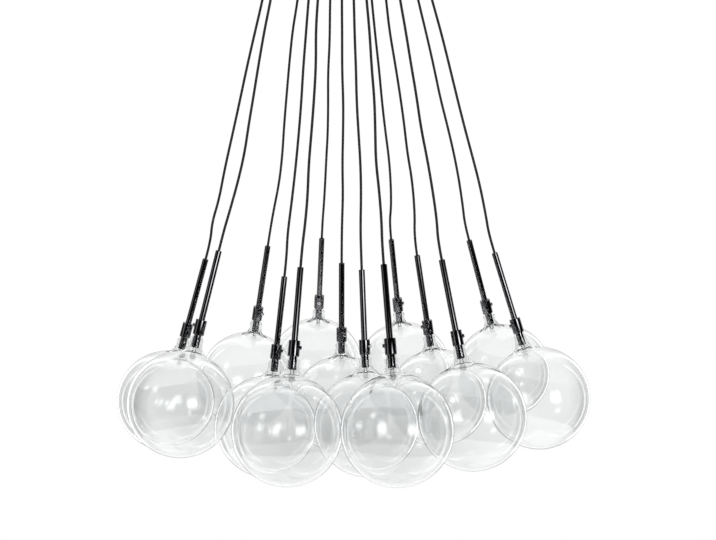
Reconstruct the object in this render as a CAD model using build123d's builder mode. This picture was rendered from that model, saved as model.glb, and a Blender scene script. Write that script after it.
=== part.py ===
"""Cluster pendant: fourteen clear glass globes on cords that fan out from one ceiling canopy.

Sizes are in millimetres, with +Z up. The origin is the centre of the canopy's ceiling face.
Every drop is drawn in its own frame: its axis runs from the globe's centre up through the stem,
and a piece's heights are measured along that axis from the globe's centre.
"""

import os
from math import atan2, cos, degrees, hypot, pi, radians, sin, sqrt, tan

from build123d import *

# ---- Fits ----
SLIP = 0.05          # radial play of a shaft in its seat
EASE = 0.25          # play between the glass lip and its collar
CLEAR = 0.5          # room round a piece that is only held elsewhere

# ---- Glass globe ----
GLOBE_R = 80.0
GLOBE_WALL = 3.0
NECK_R = 10.2
NECK_WALL = 1.4
NECK_RISE = 27.0     # from the top of the sphere to the collar's lower edge
FLARE_OUTSIDE = 16.0  # rounding between neck and sphere
FLARE_INSIDE = 18.0
SHOULDER = 9.0       # height of the S-bend from lip to neck
LIP_BORE_R = 6.6
LIP_WALL = 0.9
LIP_DEPTH = 15.5     # how far the glass lip reaches up into the collar

# ---- Collar and its thumbscrew ----
COLLAR_LENGTH = 23.0
COLLAR_WALL = 0.85
COLLAR_WEB = 5.0
COLLAR_BEVEL = 0.7
THUMBSCREW_DROP = 10.0  # below the collar's top edge
SCREW_R = 1.5
THUMB_HEAD_R = 3.2
THUMB_HEAD_LENGTH = 2.6
THUMB_SOCKET = 2.5      # across flats
THUMB_SOCKET_DEPTH = 1.5

# ---- Stem ----
STEM_R = 4.75
STEM_WALL = 0.85
STEM_LENGTH = 107.0     # above the collar
STEM_EDGE = 0.3
BUSH_BORE_R = 1.6
TOP_BUSH_LENGTH = 12.0
CLAMP_BUSH_LENGTH = 10.0
GRUB_RISE = 25.0        # above the collar's top edge
GRUB_R = 1.45
GRUB_LENGTH = 2.5
GRUB_SOCKET = 1.3
GRUB_SOCKET_DEPTH = 1.2

# ---- Lampholder ----
SLEEVE_R = 5.8
SLEEVE_WALL = 0.7
SLEEVE_WEB = 3.0
SLEEVE_DROP = 17.5      # below the collar
END_RING_LENGTH = 2.5
END_RING_LIP = 1.25
CERAMIC_LENGTH = 17.0
PIN_SPACING = 4.0
PIN_R = 0.35
PIN_LENGTH = 10.0
PIN_HOLE_DEPTH = 6.0

# ---- Capsule lamp ----
LAMP_R = 4.3
LAMP_LENGTH = 18.0
PINCH_LENGTH = 6.0
PINCH_WIDTH = 7.6
PINCH_THICKNESS = 3.0

# ---- Cord ----
CORD_R = 2.0
CORD_LEAD = 30.0        # straight run out of the stem, along its axis
ARC_SHARE = 0.45        # how much of its shorter run each bend takes up

# ---- Canopy ----
CANOPY_HEIGHT = 52.0
CANOPY_WALL = 1.5
CANOPY_RIM = 24.0       # from the outermost grip's centre to the edge
CANOPY_ROUND = 4.0
PLATE_THICKNESS = 3.0
CABLE_HOLE_R = 12.0
FIXING_CIRCLE_R = 100.0
FIXING_HOLE_R = 2.75
FIXING_COUNT = 4
TAB_WIDTH = 16.0
TAB_THICKNESS = 2.5
TAB_DROP = 22.0         # from the ceiling to the tab's end
TAB_COUNT = 4
TAB_START = 45.0        # heading of the first tab, degrees
COVER_SCREW_LEVEL = 14.0  # below the ceiling
COVER_SCREW_R = 1.95
COVER_SCREW_LENGTH = 7.0
COVER_HEAD_R = 3.6
COVER_HEAD_LENGTH = 2.4
DRIVER_SLOT = 1.0

# ---- Cord grips in the canopy ----
GRIP_FLANGE_R = 7.5
GRIP_FLANGE_LENGTH = 7.0
GRIP_TAPER = 2.5
GRIP_SHANK_R = 5.0
GRIP_SHANK_END = 1.5    # beyond the nut
GRIP_NUT_LENGTH = 5.0
GRIP_NUT_FLATS = 13.5
CORD_SWING = 46.0       # widest lean of a cord in its grip, degrees

# ---- Transformer and terminal block ----
TRANSFORMER_LENGTH = 160.0
TRANSFORMER_WIDTH = 44.0
TRANSFORMER_HEIGHT = 30.0
TRANSFORMER_NORTH = 58.0
TRANSFORMER_ROUND = 3.0
EAR_LENGTH = 12.0
EAR_THICKNESS = 2.0
EAR_SCREW_R = 1.7
EAR_HEAD_R = 3.2
EAR_HEAD_LENGTH = 2.0
TERMINAL_LENGTH = 98.0
TERMINAL_WIDTH = 20.0
TERMINAL_HEIGHT = 16.0
TERMINAL_SOUTH = 50.0
TERMINAL_WAYS = 14
WIRE_HOLE_R = 1.9

# ---- Lay-out of the cluster ----
GLOBE_GAP = 1.0                     # between two globes that lean on each other
GLOBE_PITCH = 2 * GLOBE_R + GLOBE_GAP
GRIP_PITCH = 66.0                   # the same plan, drawn smaller, in the canopy
FAN_RADIUS = 1030.0                 # from the point where all the stem axes meet to each globe
FAN_HEIGHT = 270.0                  # that point, above the ceiling face

# ---- Heights along a drop, above its globe's centre ----
COLLAR_BASE = GLOBE_R + NECK_RISE
COLLAR_TOP = COLLAR_BASE + COLLAR_LENGTH
LIP_TOP = COLLAR_BASE + LIP_DEPTH
THUMBSCREW_LEVEL = COLLAR_TOP - THUMBSCREW_DROP
SLEEVE_TOP = COLLAR_TOP - COLLAR_WEB
STEM_BASE = SLEEVE_TOP - SLEEVE_WEB
STEM_TOP = COLLAR_TOP + STEM_LENGTH
GRUB_LEVEL = COLLAR_TOP + GRUB_RISE
SLEEVE_BASE = COLLAR_BASE - SLEEVE_DROP
RING_BASE = SLEEVE_BASE - END_RING_LENGTH

# ---- Radii that follow from their neighbours ----
LIP_R = LIP_BORE_R + LIP_WALL
COLLAR_BORE_R = LIP_R + EASE
COLLAR_R = COLLAR_BORE_R + COLLAR_WALL
STEM_BORE_R = STEM_R - STEM_WALL
BUSH_R = STEM_BORE_R - SLIP
SLEEVE_BORE_R = SLEEVE_R - SLEEVE_WALL
CERAMIC_R = SLEEVE_BORE_R - SLIP
CERAMIC_NOSE_R = SLEEVE_R - END_RING_LIP - SLIP
INNER_R = GLOBE_R - GLOBE_WALL
NECK_BORE_R = NECK_R - NECK_WALL
GRIP_MOUTH = -CANOPY_HEIGHT - GRIP_FLANGE_LENGTH
TAB_HEADINGS = [TAB_START + turn * 360 / TAB_COUNT for turn in range(TAB_COUNT)]
EAR_CENTRE = TRANSFORMER_LENGTH / 2 + EAR_LENGTH / 2

# Each drop: east and north in pitches, extra reach, headings of its thumbscrew and grub screw
# (degrees round the stem, 0 to the east, -90 to the front).
DROPS = {
    1: (-1.75, 0.13, 14, 90, 90),
    2: (-1.50, -0.86, -10, 180, -30),
    3: (-1.02, 1.09, -5, -30, 90),
    4: (-0.73, -0.21, 13, 0, 90),
    5: (-0.48, -1.49, 2, 0, 180),
    6: (-0.31, 1.80, 0, -90, 90),
    7: (-0.02, 0.55, -2, -60, -95),
    8: (0.24, -0.59, -4, -30, -120),
    9: (0.49, -1.78, 4, 180, -110),
    10: (0.65, 1.51, -7, 0, 90),
    11: (0.96, 0.32, -10, 180, 90),
    12: (1.20, -1.07, -3, 0, -100),
    13: (1.68, 1.02, 1, 0, 90),
    14: (1.90, -0.28, 6, 180, 180),
}
INNER = (4, 7, 8, 11)  # the drops that hang inside the ring of the others
FARTHEST = max(hypot(east, north) for east, north, *_ in DROPS.values())
CANOPY_R = FARTHEST * GRIP_PITCH + CANOPY_RIM

# The slight waves of each hanging cord: share of the way down from its grip, and how far the
# point lies off the straight line to the stem, to the east and to the north.
CORD_WAVES = {
    1: [(0.10, 0.5, 0.5), (0.21, -0.5, 1.5), (0.33, -1.0, 1.0), (0.45, -0.5, -0.5),
        (0.56, -0.5, -1.0), (0.68, -1.0, 0.5), (0.79, 0.5, 1.0), (0.87, -2.5, 0.5)],
    2: [(0.11, 1.0, -0.5), (0.22, 1.0, -1.5), (0.34, 2.5, 0.0), (0.45, 4.5, 1.5),
        (0.55, 6.0, 1.0), (0.65, 8.5, 0.5), (0.75, 7.5, -1.0), (0.86, 4.0, 0.0)],
    3: [(0.10, -0.5, 1.0), (0.19, -2.5, 1.0), (0.30, -1.5, 0.0), (0.42, 0.5, -1.0),
        (0.54, 2.5, 0.5), (0.65, 5.5, 1.5), (0.75, 6.0, 1.0), (0.86, 2.5, 0.5)],
    4: [(0.10, 0.0, 0.5), (0.21, 0.5, 1.5), (0.32, 1.0, 0.5), (0.42, 2.5, -0.5),
        (0.53, 3.0, -1.5), (0.65, 2.5, 0.0), (0.76, 1.0, 1.0), (0.86, -1.0, 0.5)],
    5: [(0.10, -0.5, -1.0), (0.22, -0.5, 0.5), (0.33, 3.0, 1.0), (0.44, 3.5, 0.5),
        (0.55, 3.0, 1.5), (0.66, 2.0, 0.5), (0.77, 3.5, -0.5), (0.86, 2.5, 0.0)],
    6: [(0.11, 0.5, 0.5), (0.23, 2.0, -0.5), (0.35, 1.0, -1.0), (0.47, 3.0, 0.5),
        (0.58, 4.0, 1.0), (0.68, 3.0, 0.0), (0.78, 2.5, 1.0), (0.87, 1.5, 0.5)],
    7: [(0.10, 0.0, -0.5), (0.21, 0.5, -1.5), (0.33, 0.5, 0.5), (0.44, 2.5, 1.0),
        (0.55, 2.0, 0.0), (0.65, 1.0, -1.0), (0.76, 2.0, 0.5), (0.86, 0.5, 1.0)],
    8: [(0.10, 0.5, 0.5), (0.22, 0.0, 1.5), (0.33, 0.5, 0.5), (0.44, 0.0, -1.0),
        (0.55, 1.5, -0.5), (0.65, 3.0, 0.5), (0.75, 2.5, 1.5), (0.86, 0.0, 0.5)],
    9: [(0.11, 0.5, -1.0), (0.23, 2.0, -0.5), (0.35, 1.5, 1.0), (0.46, 2.5, 0.5),
        (0.57, 0.5, -0.5), (0.66, -1.5, 0.5), (0.76, 0.5, 1.0), (0.86, 1.0, -0.5)],
    10: [(0.10, 0.5, 0.5), (0.22, 1.5, -0.5), (0.34, 3.0, -1.0), (0.46, 3.5, 0.5),
         (0.57, 5.0, 1.5), (0.68, 7.5, 1.0), (0.78, 7.0, -0.5), (0.87, 4.5, 0.5)],
    11: [(0.10, -0.5, 0.5), (0.20, -1.0, -1.0), (0.31, 1.5, -0.5), (0.42, 3.5, 1.0),
         (0.53, 4.5, 0.5), (0.63, 4.0, -0.5), (0.73, 6.5, 0.5), (0.85, 4.5, 1.0)],
    12: [(0.10, 0.0, -0.5), (0.22, 1.0, 0.5), (0.33, 1.0, 1.5), (0.44, 1.5, 0.0),
         (0.55, 0.5, -1.0), (0.66, 2.5, 0.5), (0.77, 3.0, 1.0), (0.87, 2.0, -0.5)],
    13: [(0.11, 1.0, 0.5), (0.23, 2.5, 1.5), (0.34, 3.0, 0.5), (0.45, 2.5, -1.0),
         (0.56, 4.5, -0.5), (0.67, 5.5, 1.0), (0.77, 4.5, 0.5), (0.87, 1.5, -0.5)],
    14: [(0.11, 1.0, -0.5), (0.22, 2.5, 0.5), (0.33, 2.5, 1.5), (0.44, 2.0, -0.5),
         (0.55, 2.0, -1.0), (0.66, 3.0, 0.5), (0.76, 3.5, 1.0), (0.87, 1.0, 0.5)],
}


class Drop:
    """One hanging globe: its place in the cluster, and the frame that its pieces are drawn in."""

    def __init__(self, number, east, north, extra, thumb_heading, grub_heading):
        x, y = east * GLOBE_PITCH, north * GLOBE_PITCH
        fall = sqrt((FAN_RADIUS + extra) ** 2 - x**2 - y**2)
        self.name = f"{number:02d}"
        self.inner = number in INNER
        self.waves = CORD_WAVES[number]
        self.thumb_heading = thumb_heading
        self.grub_heading = grub_heading
        self.centre = Vector(x, y, FAN_HEIGHT - fall)
        self.up = (Vector(0, 0, FAN_HEIGHT) - self.centre).normalized()
        self.east = Vector(0, 1, 0).cross(self.up).normalized()
        self.north = self.up.cross(self.east)
        self.axis = Axis(self.centre, self.up)
        self.mouth = Vector(east * GRIP_PITCH, north * GRIP_PITCH, GRIP_MOUTH)

    def at(self, height):
        """The point on the axis at this height above the globe's centre."""
        return self.centre + self.up * height

    def section(self):
        """The plane through the axis that turned profiles are drawn on: radius, height."""
        return Plane(origin=self.centre, x_dir=self.east, z_dir=-self.north)

    def level(self, height):
        """The plane across the axis at this height."""
        return Plane(origin=self.at(height), x_dir=self.east, z_dir=self.up)

    def facing(self, height, heading, radius):
        """The plane that looks outwards from the axis, at this height, heading and radius."""
        out = self.east * cos(radians(heading)) + self.north * sin(radians(heading))
        return Plane(origin=self.at(height) + out * radius, x_dir=self.up, z_dir=out)


def turned(drop, *outline):
    """A piece turned round the drop's axis from its outline of radii and heights."""
    with BuildPart() as piece:
        with BuildSketch(drop.section()):
            with BuildLine():
                Polyline(*outline, close=True)
            make_face()
        revolve(axis=drop.axis)
    return piece.part


def flare_centre(neck_r, sphere_r, flare_r):
    """Centre of the rounding that joins a neck to a sphere, as a radius and a height."""
    radius = neck_r + flare_r
    return radius, sqrt((sphere_r + flare_r) ** 2 - radius**2)


def make_globe(drop):
    """The blown globe: sphere, flared neck and the straight lip that goes up into the collar."""
    out_r, out_height = flare_centre(NECK_R, GLOBE_R, FLARE_OUTSIDE)
    in_r, in_height = flare_centre(NECK_BORE_R, INNER_R, FLARE_INSIDE)
    out_share = GLOBE_R / (GLOBE_R + FLARE_OUTSIDE)
    in_share = INNER_R / (INNER_R + FLARE_INSIDE)
    out_touch = (out_r * out_share, out_height * out_share)
    in_touch = (in_r * in_share, in_height * in_share)
    lip_base = COLLAR_BASE - EASE
    neck_top = lip_base - SHOULDER
    half_way = (lip_base + neck_top) / 2
    with BuildPart() as globe:
        with BuildSketch(drop.section()):
            with BuildLine():
                Line((LIP_BORE_R, LIP_TOP), (LIP_R, LIP_TOP))
                Line((LIP_R, LIP_TOP), (LIP_R, lip_base))
                bend = TangentArc((LIP_R, lip_base), ((LIP_R + NECK_R) / 2, half_way), tangent=(0, -1))
                TangentArc(bend @ 1, (NECK_R, neck_top), tangent=bend % 1)
                Line((NECK_R, neck_top), (NECK_R, out_height))
                TangentArc((NECK_R, out_height), out_touch, tangent=(0, -1))
                ThreePointArc(out_touch, (GLOBE_R, 0), (0, -GLOBE_R))
                Line((0, -GLOBE_R), (0, -INNER_R))
                ThreePointArc((0, -INNER_R), (INNER_R, 0), in_touch)
                flare = TangentArc((NECK_BORE_R, in_height), in_touch, tangent=(0, -1))
                Line((NECK_BORE_R, neck_top), flare @ 0)
                bend = TangentArc((LIP_BORE_R, lip_base), ((LIP_BORE_R + NECK_BORE_R) / 2, half_way),
                                  tangent=(0, -1))
                TangentArc(bend @ 1, (NECK_BORE_R, neck_top), tangent=bend % 1)
                Line((LIP_BORE_R, lip_base), (LIP_BORE_R, LIP_TOP))
            make_face()
        revolve(axis=drop.axis)
    return globe.part


def make_collar(drop):
    """The turned cap over the glass lip, with the thumbscrew's hole through its skirt."""
    with BuildPart() as collar:
        add(turned(
            drop,
            (STEM_R + SLIP, COLLAR_TOP), (COLLAR_R - COLLAR_BEVEL, COLLAR_TOP),
            (COLLAR_R, COLLAR_TOP - COLLAR_BEVEL), (COLLAR_R, COLLAR_BASE + COLLAR_BEVEL),
            (COLLAR_R - COLLAR_BEVEL, COLLAR_BASE), (COLLAR_BORE_R, COLLAR_BASE),
            (COLLAR_BORE_R, SLEEVE_TOP), (STEM_R + SLIP, SLEEVE_TOP),
        ))
        with BuildSketch(drop.facing(THUMBSCREW_LEVEL, drop.thumb_heading, LIP_R)):
            Circle(SCREW_R + SLIP)
        extrude(amount=COLLAR_R, mode=Mode.SUBTRACT)
    return collar.part


def make_thumbscrew(drop):
    """The round-headed screw that bears on the glass lip through the collar's skirt."""
    with BuildPart() as screw:
        with BuildSketch(drop.facing(THUMBSCREW_LEVEL, drop.thumb_heading, COLLAR_BORE_R)):
            Circle(SCREW_R)
        extrude(amount=COLLAR_WALL + SLIP)
        with BuildSketch(drop.facing(THUMBSCREW_LEVEL, drop.thumb_heading, COLLAR_R + SLIP)):
            Circle(THUMB_HEAD_R)
        extrude(amount=THUMB_HEAD_LENGTH)
        head_end = COLLAR_R + SLIP + THUMB_HEAD_LENGTH
        with BuildSketch(drop.facing(THUMBSCREW_LEVEL, drop.thumb_heading, head_end)):
            RegularPolygon(THUMB_SOCKET / 2, 6, major_radius=False)
        extrude(amount=-THUMB_SOCKET_DEPTH, mode=Mode.SUBTRACT)
    return screw.part


def make_stem(drop):
    """The thin tube, drilled for its grub screw."""
    with BuildPart() as stem:
        add(turned(
            drop,
            (STEM_BORE_R, STEM_BASE), (STEM_R, STEM_BASE), (STEM_R, STEM_TOP - STEM_EDGE),
            (STEM_R - STEM_EDGE, STEM_TOP), (STEM_BORE_R, STEM_TOP),
        ))
        with BuildSketch(drop.facing(GRUB_LEVEL, drop.grub_heading, BUSH_BORE_R)):
            Circle(GRUB_R + SLIP)
        extrude(amount=STEM_R, mode=Mode.SUBTRACT)
    return stem.part


def make_top_bush(drop):
    """The plug that the cord's sheath ends on, flush with the stem's top."""
    return turned(
        drop,
        (BUSH_BORE_R, STEM_TOP - TOP_BUSH_LENGTH), (BUSH_R, STEM_TOP - TOP_BUSH_LENGTH),
        (BUSH_R, STEM_TOP), (BUSH_BORE_R, STEM_TOP),
    )


def make_clamp_bush(drop):
    """The inner bush that the grub screw bites into, with the wires through its bore."""
    low, high = GRUB_LEVEL - CLAMP_BUSH_LENGTH / 2, GRUB_LEVEL + CLAMP_BUSH_LENGTH / 2
    with BuildPart() as bush:
        add(turned(drop, (BUSH_BORE_R, low), (BUSH_R, low), (BUSH_R, high), (BUSH_BORE_R, high)))
        with BuildSketch(drop.facing(GRUB_LEVEL, drop.grub_heading, STEM_R - GRUB_LENGTH)):
            Circle(GRUB_R + SLIP)
        extrude(amount=GRUB_LENGTH, mode=Mode.SUBTRACT)
    return bush.part


def make_grub_screw(drop):
    """The headless screw, its socket end level with the stem's outside."""
    with BuildPart() as screw:
        with BuildSketch(drop.facing(GRUB_LEVEL, drop.grub_heading, STEM_R - GRUB_LENGTH)):
            Circle(GRUB_R)
        extrude(amount=GRUB_LENGTH)
        with BuildSketch(drop.facing(GRUB_LEVEL, drop.grub_heading, STEM_R)):
            RegularPolygon(GRUB_SOCKET / 2, 6, major_radius=False)
        extrude(amount=-GRUB_SOCKET_DEPTH, mode=Mode.SUBTRACT)
    return screw.part


def make_sleeve(drop):
    """The lampholder's metal sleeve, whose web seats on the foot of the stem."""
    return turned(
        drop,
        (SLEEVE_BORE_R, SLEEVE_BASE), (SLEEVE_R, SLEEVE_BASE), (SLEEVE_R, SLEEVE_TOP),
        (STEM_R + SLIP, SLEEVE_TOP), (STEM_R + SLIP, STEM_BASE), (SLEEVE_BORE_R, STEM_BASE),
    )


def make_end_ring(drop):
    """The black ring that closes the sleeve's lower end."""
    bore = CERAMIC_NOSE_R + SLIP
    return turned(
        drop,
        (bore, RING_BASE), (SLEEVE_R, RING_BASE), (SLEEVE_R, SLEEVE_BASE), (bore, SLEEVE_BASE),
    )


def make_ceramic(drop):
    """The ceramic insert, with a nose through the end ring and two pin holes."""
    top = RING_BASE + CERAMIC_LENGTH
    with BuildPart() as ceramic:
        add(turned(
            drop,
            (0, RING_BASE), (CERAMIC_NOSE_R, RING_BASE), (CERAMIC_NOSE_R, SLEEVE_BASE),
            (CERAMIC_R, SLEEVE_BASE), (CERAMIC_R, top), (0, top),
        ))
        with BuildSketch(drop.level(RING_BASE)):
            with GridLocations(PIN_SPACING, 0, 2, 1):
                Circle(PIN_R + SLIP)
        extrude(amount=PIN_HOLE_DEPTH, mode=Mode.SUBTRACT)
    return ceramic.part


def make_lamp(drop):
    """The capsule lamp: a round-ended glass body under a flat pinch that holds two pins."""
    neck = RING_BASE - PINCH_LENGTH
    tip = RING_BASE - LAMP_LENGTH
    pin_end = RING_BASE - (PIN_LENGTH - PIN_HOLE_DEPTH + CLEAR)
    with BuildPart() as glass:
        with BuildSketch(drop.section()):
            with BuildLine():
                Line((0, neck), (0, tip))
                arc = TangentArc((LAMP_R, tip + LAMP_R), (0, tip), tangent=(0, -1))
                Line(arc @ 0, (LAMP_R, neck))
                Line((LAMP_R, neck), (0, neck))
            make_face()
        revolve(axis=drop.axis)
        with BuildSketch(drop.level(neck)):
            Rectangle(PINCH_WIDTH, PINCH_THICKNESS)
        extrude(amount=PINCH_LENGTH)
        with BuildSketch(drop.level(pin_end)):
            with GridLocations(PIN_SPACING, 0, 2, 1):
                Circle(PIN_R + SLIP)
        extrude(amount=PIN_LENGTH, mode=Mode.SUBTRACT)
    with BuildPart() as pins:
        with BuildSketch(drop.level(pin_end)):
            with GridLocations(PIN_SPACING, 0, 2, 1):
                Circle(PIN_R)
        extrude(amount=PIN_LENGTH)
    return [glass.part, *pins.part.solids()]


def cord_points(drop):
    """The hand-set route from the grip's mouth down to the stem's top."""
    foot = drop.at(STEM_TOP)
    line = foot - drop.mouth
    points = [drop.mouth]
    for share, east, north in drop.waves:
        points.append(drop.mouth + line * share + drop.east * east + drop.north * north)
    return points + [drop.at(STEM_TOP + CORD_LEAD), foot]


def bend_radii(points):
    """The largest arc that fits each corner of a route, from its two runs and its turn."""
    radii = []
    for before, corner, after in zip(points, points[1:], points[2:]):
        turn = (corner - before).get_angle(after - corner)
        shorter = min((corner - before).length, (after - corner).length)
        radii.append(ARC_SHARE * shorter / tan(radians(turn) / 2))
    return radii


def make_cord(drop):
    """The hanging cord, a tube along straight runs joined by tangent arcs."""
    points = cord_points(drop)
    radii = bend_radii(points)
    with BuildPart() as cord:
        with BuildLine() as route:
            FilletPolyline(*points, radius=radii)
        with BuildSketch(Plane(origin=points[0], z_dir=points[1] - points[0])):
            Circle(CORD_R)
        sweep()
    length = sum(edge.length for edge in route.edges())
    section = pi * CORD_R**2
    print(f"cord_{drop.name}: length {length:.1f}, least radius {min(radii):.0f}, "
          f"volume over section x length {cord.part.volume / (section * length):.4f}")
    return cord.part


def make_ceiling_plate():
    """The plate that is screwed to the ceiling, with the tabs that carry the cover."""
    plate_r = CANOPY_R - CANOPY_WALL - CLEAR
    with BuildPart() as plate:
        with BuildSketch():
            Circle(plate_r)
            Circle(CABLE_HOLE_R, mode=Mode.SUBTRACT)
            with PolarLocations(FIXING_CIRCLE_R, FIXING_COUNT):
                Circle(FIXING_HOLE_R, mode=Mode.SUBTRACT)
        extrude(amount=-PLATE_THICKNESS)
        with BuildSketch(Plane.XY.offset(-PLATE_THICKNESS)):
            Circle(plate_r)
            Circle(plate_r - TAB_THICKNESS, mode=Mode.SUBTRACT)
            with PolarLocations(plate_r, TAB_COUNT, start_angle=TAB_START):
                Rectangle(TAB_WIDTH, TAB_WIDTH, mode=Mode.INTERSECT)
        extrude(amount=PLATE_THICKNESS - TAB_DROP)
        for heading in TAB_HEADINGS:
            with BuildSketch(rim_plane(heading, plate_r - 2 * TAB_THICKNESS)):
                Circle(COVER_SCREW_R + SLIP)
            extrude(amount=4 * TAB_THICKNESS, mode=Mode.SUBTRACT)
        for side in (-1, 1):
            with BuildSketch(Plane.XY.offset(-PLATE_THICKNESS)):
                with Locations((side * EAR_CENTRE, TRANSFORMER_NORTH)):
                    Circle(EAR_SCREW_R + SLIP)
            extrude(amount=PLATE_THICKNESS, mode=Mode.SUBTRACT)
    return plate.part


def rim_plane(heading, radius):
    """The plane that looks outwards from the canopy's centre at the cover screws' level."""
    out = Vector(cos(radians(heading)), sin(radians(heading)), 0)
    return Plane(origin=out * radius - Vector(0, 0, COVER_SCREW_LEVEL), z_dir=out)


def make_canopy_cover(drops):
    """The spun cup that hides the plate, with a hole for each cord grip."""
    with BuildPart() as cover:
        with BuildSketch(Plane.XY.offset(-CANOPY_HEIGHT)):
            Circle(CANOPY_R)
        extrude(amount=CANOPY_HEIGHT)
        fillet(cover.edges().group_by(Axis.Z)[0], CANOPY_ROUND)
        offset(amount=-CANOPY_WALL, openings=cover.faces().sort_by(Axis.Z)[-1])
        with BuildSketch(Plane.XY.offset(-CANOPY_HEIGHT)):
            with Locations(*[(drop.mouth.X, drop.mouth.Y) for drop in drops]):
                Circle(GRIP_SHANK_R + SLIP)
        extrude(amount=CANOPY_WALL, mode=Mode.SUBTRACT)
        for heading in TAB_HEADINGS:
            with BuildSketch(rim_plane(heading, CANOPY_R - 2 * CANOPY_WALL)):
                Circle(COVER_SCREW_R + SLIP)
            extrude(amount=4 * CANOPY_WALL, mode=Mode.SUBTRACT)
    return cover.part


def make_cover_screw(heading):
    """A slotted pan-head screw through the cover's side into a tab."""
    with BuildPart() as screw:
        with BuildSketch(rim_plane(heading, CANOPY_R + SLIP - COVER_SCREW_LENGTH)):
            Circle(COVER_SCREW_R)
        extrude(amount=COVER_SCREW_LENGTH)
        with BuildSketch(rim_plane(heading, CANOPY_R + SLIP)):
            Circle(COVER_HEAD_R)
        extrude(amount=COVER_HEAD_LENGTH)
        with BuildSketch(rim_plane(heading, CANOPY_R + SLIP + COVER_HEAD_LENGTH)):
            Rectangle(2 * COVER_HEAD_R, DRIVER_SLOT)
        extrude(amount=-COVER_HEAD_LENGTH / 2, mode=Mode.SUBTRACT)
    return screw.part


def make_grip(drop):
    """A cord grip: flange under the cover, threaded shank through it, flared mouth."""
    flare_r = (CORD_R + EASE) / cos(radians(CORD_SWING))
    bore = CORD_R + EASE / 2
    flare_height = (CORD_R + EASE - bore * cos(radians(CORD_SWING))) / sin(radians(CORD_SWING))
    shank_top = CANOPY_WALL + GRIP_NUT_LENGTH + GRIP_SHANK_END
    under = GRIP_FLANGE_LENGTH
    with BuildPart() as grip:
        with BuildSketch(Plane(origin=drop.mouth, x_dir=(1, 0, 0), z_dir=(0, -1, 0))):
            with BuildLine():
                Polyline(
                    (flare_r, 0), (GRIP_FLANGE_R - GRIP_TAPER, 0), (GRIP_FLANGE_R, GRIP_TAPER),
                    (GRIP_FLANGE_R, under), (GRIP_SHANK_R, under),
                    (GRIP_SHANK_R, under + shank_top), (bore, under + shank_top),
                    (bore, flare_height), close=True,
                )
            make_face()
        revolve(axis=Axis(drop.mouth, (0, 0, 1)))
    return grip.part


def make_grip_nut(drop):
    """The hexagon nut that clamps the grip from inside the cover."""
    seat = Plane.XY.offset(CANOPY_WALL - CANOPY_HEIGHT)
    with BuildPart() as nut:
        with BuildSketch(seat):
            with Locations((drop.mouth.X, drop.mouth.Y)):
                RegularPolygon(GRIP_NUT_FLATS / 2, 6, major_radius=False)
                Circle(GRIP_SHANK_R + SLIP, mode=Mode.SUBTRACT)
        extrude(amount=GRIP_NUT_LENGTH)
    return nut.part


def make_transformer():
    """The low-voltage transformer under the plate, with its two fixing screws."""
    under = Plane.XY.offset(-PLATE_THICKNESS)
    with BuildPart() as case:
        with BuildSketch(under):
            with Locations((0, TRANSFORMER_NORTH)):
                Rectangle(TRANSFORMER_LENGTH, TRANSFORMER_WIDTH)
        extrude(amount=-TRANSFORMER_HEIGHT)
        fillet(case.edges().filter_by(Axis.Z), TRANSFORMER_ROUND)
        with BuildSketch(under):
            with Locations((0, TRANSFORMER_NORTH)):
                Rectangle(TRANSFORMER_LENGTH + 2 * EAR_LENGTH, TRANSFORMER_WIDTH / 2)
            with Locations((-EAR_CENTRE, TRANSFORMER_NORTH), (EAR_CENTRE, TRANSFORMER_NORTH)):
                Circle(EAR_SCREW_R + SLIP, mode=Mode.SUBTRACT)
        extrude(amount=-EAR_THICKNESS)
    screws = []
    for side in (-1, 1):
        with BuildPart() as screw:
            with BuildSketch():
                with Locations((side * EAR_CENTRE, TRANSFORMER_NORTH)):
                    Circle(EAR_SCREW_R)
            extrude(amount=-PLATE_THICKNESS - EAR_THICKNESS)
            with BuildSketch(Plane.XY.offset(-PLATE_THICKNESS - EAR_THICKNESS)):
                with Locations((side * EAR_CENTRE, TRANSFORMER_NORTH)):
                    Circle(EAR_HEAD_R)
            extrude(amount=-EAR_HEAD_LENGTH)
        screws.append(screw.part)
    return [case.part, *screws]


def make_terminal_block():
    """The block under the plate where the fourteen cords join the transformer's leads."""
    spacing = TERMINAL_LENGTH / TERMINAL_WAYS
    with BuildPart() as block:
        with BuildSketch(Plane.XY.offset(-PLATE_THICKNESS)):
            with Locations((0, -TERMINAL_SOUTH)):
                Rectangle(TERMINAL_LENGTH, TERMINAL_WIDTH)
        extrude(amount=-TERMINAL_HEIGHT)
        middle = Vector(0, -TERMINAL_SOUTH - TERMINAL_WIDTH / 2, -PLATE_THICKNESS - TERMINAL_HEIGHT / 2)
        with BuildSketch(Plane(origin=middle, x_dir=(1, 0, 0), z_dir=(0, -1, 0))):
            with GridLocations(spacing, 0, TERMINAL_WAYS, 1):
                Circle(WIRE_HOLE_R)
        extrude(amount=-TERMINAL_WIDTH, mode=Mode.SUBTRACT)
    return block.part


def write(name, *pieces):
    """Write one node: a single solid, or a group of separate solids."""
    node = pieces[0] if len(pieces) == 1 else Compound(children=list(pieces))
    node.label = name
    export_step(node, f"parts/{name}.step")


os.makedirs("parts", exist_ok=True)
drops = [Drop(number, *place) for number, place in DROPS.items()]

for drop in drops:
    write(f"cord_{drop.name}", make_cord(drop))
    write(
        f"fitting_{drop.name}",
        make_stem(drop), make_top_bush(drop), make_clamp_bush(drop), make_grub_screw(drop),
        make_collar(drop), make_thumbscrew(drop),
        make_sleeve(drop), make_end_ring(drop), make_ceramic(drop),
    )
    write(f"globe_{drop.name}", make_globe(drop))
    if not drop.inner:
        write(f"lamp_{drop.name}", *make_lamp(drop))
write("inner_lamps", *[piece for drop in drops if drop.inner for piece in make_lamp(drop)])

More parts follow.
